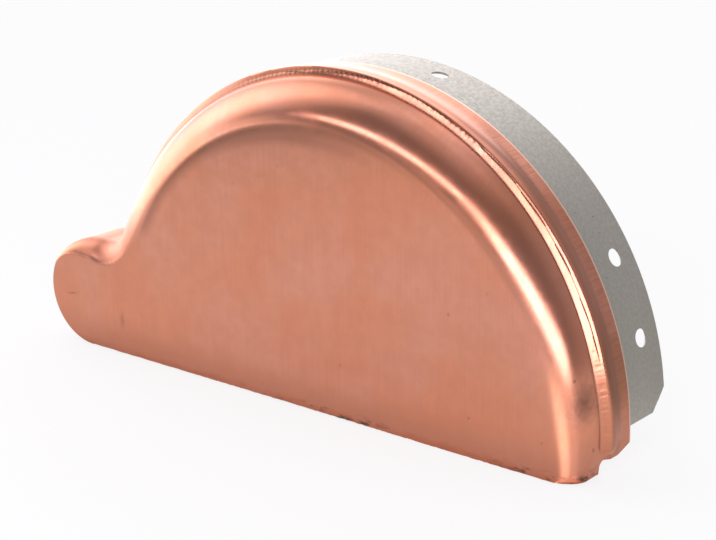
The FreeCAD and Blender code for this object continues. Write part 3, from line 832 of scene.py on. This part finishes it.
# %% Copper: stains and a painted dark reflection
STAIN_AND_SHADE_COLOUR = (0.13, 0.055, 0.035)
STAINS_AND_SHADE = [
    # The first spot is painted shade, a dark reflection on the shoulder. The others are real stains, a nick, a
    # scratch and specks.
    ("painted dark reflection on the shoulder", (61.3, 5.0, 15.5), (4.9, 5.8, 6.9), 20, -0.35, 0.90),
    ("dot above it", (59.8, 4.1, 19.7), (0.45, 0.7, 0.45), 0, 0.3, 0.8),
    ("nick by the foot", (62.95, 6.15, 5.95), (0.5, 0.4, 0.8), 25, 0.3, 0.6),
    ("upright smudge near the lobe", (-56.2, 0, 8.0), (1.1, 2.0, 3.4), 3, -0.3, 0.42),
    ("scratch on the lobe", (-72.1, 0, 11.3), (2.6, 2.0, 0.4), -11, 0.0, 0.40),
    ("speck on the face", (38.5, 0, 8.4), (0.5, 1.0, 0.6), 0, 0.0, 0.40),
    ("speck by the corner", (55.4, 0, 7.5), (0.45, 1.0, 0.45), 0, 0.0, 0.40),
]
ragged = noise(tree, place, 0.8, 4, 0.6)


def spot(centre, size, lean, core):
    """Mask of one stain or painted dark spot, given in mm: its lean in the plane of the face, and how much of
    it is full.
    """
    local = tree.nodes.new("ShaderNodeMapping")
    local.vector_type = "TEXTURE"
    for name, value in (("Location", centre), ("Rotation", (0, math.radians(lean), 0)), ("Scale", size)):
        local.inputs[name].default_value = value
    tree.links.new(place, local.inputs["Vector"])
    distance = tree.nodes.new("ShaderNodeVectorMath")
    distance.operation = "LENGTH"
    tree.links.new(local.outputs["Vector"], distance.inputs[0])
    uneven = arith(tree, "MULTIPLY_ADD", ragged, 0.6, distance.outputs["Value"])
    return ramp(tree, uneven, 0.3 + core, 1.3, 1.0, 0.0)


stains_and_shade = largest(tree, *[product(tree, spot(*shape), strength) for _, *shape, strength in STAINS_AND_SHADE])
colour = blend(tree, stains_and_shade, colour, STAIN_AND_SHADE_COLOUR)
print("copper stains:", ", ".join(label for label, *_ in STAINS_AND_SHADE))

# %% [markdown]
# The cap stands on its straight edge. Low on the face the metal is browner: this is partly painted shade from
# the paper close by and partly a film. It is redder at the edge itself, and crumbs of dirt stick to it, most of
# them in the middle and towards the right corner.

# %% Copper: straight edge
LOW_SHADE_AND_FILM_COLOUR, EDGE_COLOUR = (0.46, 0.165, 0.092), (0.46, 0.130, 0.060)
DIRT_COLOUR = (0.085, 0.036, 0.022)
edge_rag = noise(tree, stretched(tree, place, (0.16, 0.3, 0.5)), 1.0, 3, 0.5)
edge_height = total(tree, height, ramp(tree, edge_rag, 0.3, 0.7, -0.3, 0.3))
red_edge = ramp(tree, edge_height, 0.3, 2.2, 0.95, 0.0)
# Painted shade low on the face, mixed with a film.
low_shade_and_film = ramp(tree, height, 1.0, 10.0, 0.72, 0.0)
colour = blend(tree, low_shade_and_film, colour, LOW_SHADE_AND_FILM_COLOUR)
colour = blend(tree, red_edge, colour, EDGE_COLOUR)
crumb_noise = noise(tree, stretched(tree, place, (0.26, 0.5, 0.75)), 1.0, 4, 0.62)
crumbs = ramp(tree, crumb_noise, 0.47, 0.66)
dirty_places = largest(tree, window(tree, across, -14, 2, 14, 24), ramp(tree, across, 40, 56))
low_down = ramp(tree, height, 0.6, 2.8, 1.0, 0.0)
dirt = product(tree, crumbs, low_down, total(tree, dirty_places, 0.15), 0.85)
colour = blend(tree, dirt, colour, DIRT_COLOUR)
tree.links.new(colour, shader.inputs["Base Color"])
print("copper nodes with stains and dirt:", len(tree.nodes))

# %% [markdown]
# Dirt is duller than metal, so the stains, with the painted dark reflection among them, also raise the
# roughness, and so do the bare rear edge and the worn rounding by the lobe. The rolling lines and scratches are
# far too fine for the mesh. A Bump node bends the normals a little where they are.

# %% Copper: gloss and fine relief
clean = total(tree, ramp(tree, blotches, 0.0, 1.0, 0.18, 0.23), ramp(tree, lines, 0.3, 0.7, 0.0, 0.03))
worn = product(tree, window(tree, across, -76, -67, -54, -49), window(tree, depth, 0.05, 0.5, 6.0, 9.0))
dull = largest(tree, stains_and_shade, dirt, product(tree, red_edge, 0.6), product(tree, worn, 0.8), bare_edge)
gloss = arith(tree, "MULTIPLY_ADD", dull, 0.25, clean)
tree.links.new(gloss, shader.inputs["Roughness"])
relief = total(tree, lines, product(tree, scratches, on_flange, 3.0))
fine_relief(tree, shader, relief, 0.04)
face_sheet.data.materials.clear()
face_sheet.data.materials.append(copper)
print("copper nodes:", len(tree.nodes))

# %% [markdown]
# ### The steel
# The band is zinc-coated sheet: a matt grey with a fine mottle and short dark ticks that lie front to back.
# It uses the same group as the copper, with a finer grain and with the specks drawn out into ticks.

# %% Galvanised steel
FRONT_STEEL, REAR_STEEL = (0.505, 0.487, 0.425), (0.535, 0.510, 0.446)
MOTTLE_COLOUR, TICK_COLOUR = (0.32, 0.30, 0.25), (0.12, 0.115, 0.10)
MOTTLE_SIZE, TICK_SCALE, TICK_SHARE = 0.7, (0.95, 0.24, 0.95), 0.55
steel, tree, shader = new_material("galvanised_steel")
shader.inputs["Metallic"].default_value = 1.0
place = in_millimetres(tree)
_, deep, _ = parts_of(tree, place)
tick_place = stretched(tree, place, TICK_SCALE)
mottle, ticks = grain_and_specks(tree, place, MOTTLE_SIZE, tick_place, TICK_SHARE)
colour = blend(tree, ramp(tree, deep, 17, 27), FRONT_STEEL, REAR_STEEL)
colour = blend(tree, ramp(tree, mottle, 0.0, 1.0, 0.0, 0.30), colour, MOTTLE_COLOUR)
colour = blend(tree, product(tree, ticks, 0.55), colour, TICK_COLOUR)
tree.links.new(colour, shader.inputs["Base Color"])
tree.links.new(ramp(tree, mottle, 0.0, 1.0, 0.44, 0.54), shader.inputs["Roughness"])
fine_relief(tree, shader, mottle, 0.10)
steel_strip.data.materials.clear()
steel_strip.data.materials.append(steel)
print("steel nodes:", len(tree.nodes))

# %% [markdown]
# ## Floor
# The part stands on white paper. The paper takes the part's shadow, and Light Path makes it glow a little for
# the camera and for reflections, so that the picture's ground is white without more light on the metal. The
# copper mirrors the paper, so its brightness is drawn in by place. At the left it runs up into the bright
# wall along a slanted line, with a dim strip in front of that. A gleam lies before the right corner, and the
# paper is dimmer behind at the right. Only mirrored rays see these.

# %% White paper floor
PAPER_GLOW, MIRRORED_GLOW, WALL_LIGHT = 0.80, 0.52, 2.9
GLEAM_LIGHT, DIMMING = 1.6, 0.58
WALL_SLANT, RIGHT_CORNER = 0.75, (0.058, 0.001)
bpy.ops.object.select_all(action="DESELECT")
bpy.ops.mesh.primitive_plane_add(size=6)
floor = bpy.context.object
floor.name = "floor"
paper, tree, shader = new_material("white_paper")
for name, value in (("Base Color", (0.9, 0.9, 0.9)), ("Roughness", 0.9), ("Specular IOR Level", 0.0)):
    put(tree, shader.inputs[name], value)
path = tree.nodes.new("ShaderNodeLightPath")
mirrored = largest(tree, path.outputs["Is Glossy Ray"], path.outputs["Is Transmission Ray"])
floor_x, floor_y, _ = parts_of(tree, tree.nodes.new("ShaderNodeTexCoord").outputs["Object"])
distance, bearing = length_of(tree, floor_x, floor_y), bearing_of(tree, floor_x, floor_y)
towards_wall = arith(tree, "SUBTRACT", product(tree, floor_y, WALL_SLANT), floor_x)
wall_foot = product(
    tree, ramp(tree, towards_wall, 0.185, 0.30), ramp(tree, floor_x, -0.18, -0.14, 1.0, 0.0), mirrored)
dim_strip = product(
    tree, ramp(tree, distance, 0.21, 0.25), ramp(tree, towards_wall, 0.115, 0.165, 1.0, 0.0),
    window(tree, bearing, -84, -74, -36, -24), mirrored)
from_corner = [arith(tree, "SUBTRACT", way, at) for way, at in zip((floor_x, floor_y), RIGHT_CORNER)]
gleam = product(
    tree, window(tree, bearing_of(tree, *from_corner), 11, 27, 41, 56),
    ramp(tree, length_of(tree, *from_corner), 0.11, 0.19, 1.0, 0.0), mirrored)
rear_shade = product(tree, ramp(tree, bearing, 98, 130), mirrored)
print("floor:", floor.name)

# %% [markdown]
# One Emission shader is the paper's glow. Its strength is one, raised at the wall's foot and in the gleam and
# lowered in the dim places. The largest of all the masks says how much of the glow is mixed into the paper.

# %% Glow of the paper
strength = arith(tree, "MULTIPLY_ADD", wall_foot, WALL_LIGHT - 1, 1.0)
strength = arith(tree, "MULTIPLY_ADD", gleam, GLEAM_LIGHT, strength)
strength = arith(tree, "MULTIPLY_ADD", total(tree, dim_strip, rear_shade), -DIMMING, strength)
glow = tree.nodes.new("ShaderNodeEmission")
tree.links.new(strength, glow.inputs["Strength"])
seen = product(tree, path.outputs["Is Camera Ray"], PAPER_GLOW)
glowing = largest(
    tree, seen, product(tree, mirrored, MIRRORED_GLOW), wall_foot, dim_strip, gleam, rear_shade)
mixed_surface(tree, glowing, shader.outputs["BSDF"], glow.outputs["Emission"], "Material Output")
floor.data.materials.append(paper)
print("paper nodes:", len(tree.nodes))

# %% [markdown]
# ## The room
# Metal shows the room it stands in, so the room matters as much as the copper's own colour. This one has a
# large bright paper wall on the left that fades upwards, a window behind it, a low glow at the left end of
# the floor, dim corners in front and a soft ceiling. Its light is very slightly pink. The world's direction
# is turned into an azimuth and an elevation, which makes each of these one short line. The camera itself
# sees plain white.

# %% World
ROOM_COLOUR, WHITE = (1.0, 0.975, 1.04), (1, 1, 1)
world = bpy.data.worlds.new("studio")
bpy.context.scene.world = world
world.use_nodes = True
tree = world.node_tree
look_x, look_y, look_z = parts_of(tree, tree.nodes.new("ShaderNodeTexCoord").outputs["Generated"])
azimuth = bearing_of(tree, look_x, look_y)
elevation = arith(tree, "DEGREES", arith(tree, "ARCSINE", look_z))
turned_away = arith(tree, "ABSOLUTE", azimuth)


def bright_patch(sideways, upwards, brightness):
    """A soft-edged patch of light, given by the windows of its azimuth and its elevation."""
    return product(tree, window(tree, azimuth, *sideways), window(tree, elevation, *upwards), brightness)


wall = product(tree, window(tree, azimuth, -134, -86, -76, -50), ramp(tree, elevation, 12, 92, WALL_LIGHT, 0.0))
rear_window = window(tree, azimuth, -176, -160, -126, -108)
rear_window = product(tree, rear_window, ramp(tree, elevation, 22, 55, 1.75, 0.3))
left_fill = bright_patch((-94, -72, -58, -44), (8, 24, 50, 70), 0.8)
left_glow = bright_patch((-70, -60, -49, -44), (-6, -2, 4, 11), 1.15)
horizon = bright_patch((-30, -18, 14, 30), (-4, 2, 8, 14), 0.5)
behind = product(tree, ramp(tree, turned_away, 148, 178), window(tree, elevation, 20, 38, 62, 80), 0.7)
ceiling = ramp(tree, elevation, 48, 82, 0.0, 0.52)
all_round = ramp(tree, turned_away, 70, 125, 0.28, 0.52)
light = total(
    tree, largest(tree, wall, rear_window, left_fill), ceiling, behind, horizon, left_glow, all_round)
room = tree.nodes["Background"]
put(tree, room.inputs["Strength"], light)
put(tree, room.inputs["Color"], ROOM_COLOUR)
plain = tree.nodes.new("ShaderNodeBackground")
put(tree, plain.inputs["Color"], WHITE)
seen = tree.nodes.new("ShaderNodeLightPath").outputs["Is Camera Ray"]
mixed_surface(tree, seen, room.outputs["Background"], plain.outputs["Background"], "World Output")
print("world nodes:", len(tree.nodes))

# %% [markdown]
# ## Lamps
# Two soft lamps make the long highlight on the shoulder: a thin strip above the front and a larger box low on
# the right. A lamp's power is worked out from how bright its face should look, so that a lamp can be made
# larger without becoming brighter. Both have a trace of pink, which keeps the highlights on the copper from
# turning yellow.

# %% Lamps
LAMP_DISTANCE = 1.2
LAMP_COLOUR = (1.0, 0.94, 1.06)
middle = Vector((0, 0.01, 0.035))


def heading(azimuth, elevation):
    """Unit vector towards a compass heading: 0 is in front of the face, 90 to its right."""
    a, e = math.radians(azimuth), math.radians(elevation)
    return Vector((math.sin(a) * math.cos(e), -math.cos(a) * math.cos(e), math.sin(e)))


def area_lamp(name, place, along, size, brightness):
    """A flat lamp at a place, facing the object, with its long side along a direction."""
    bpy.ops.object.light_add(type="AREA")
    lamp = bpy.context.object
    lamp.name = name
    lamp.data.shape = "RECTANGLE"
    lamp.data.size, lamp.data.size_y = size
    lamp.data.energy = brightness * math.pi * size[0] * size[1]
    lamp.data.color = LAMP_COLOUR
    away = (place - middle).normalized()
    side = (along - away * along.dot(away)).normalized()
    turned = Matrix((side, away.cross(side), away)).transposed().to_4x4()
    lamp.matrix_world = Matrix.Translation(place) @ turned
    print(name, "power:", round(lamp.data.energy, 2), "W")


def lamp_between(name, start, end, width, brightness):
    """A lamp that reaches from one heading to another."""
    start, end = heading(*start) * LAMP_DISTANCE, heading(*end) * LAMP_DISTANCE
    area_lamp(name, middle + (start + end) / 2, end - start, ((end - start).length, width), brightness)


lamp_between("front_strip", (-40, 15.5), (8, 30), 0.10, 6.5)
lamp_between("right_box", (9, 25), (68, 0.5), 0.33, 5.2)
bpy.context.scene.view_settings.view_transform = "Standard"
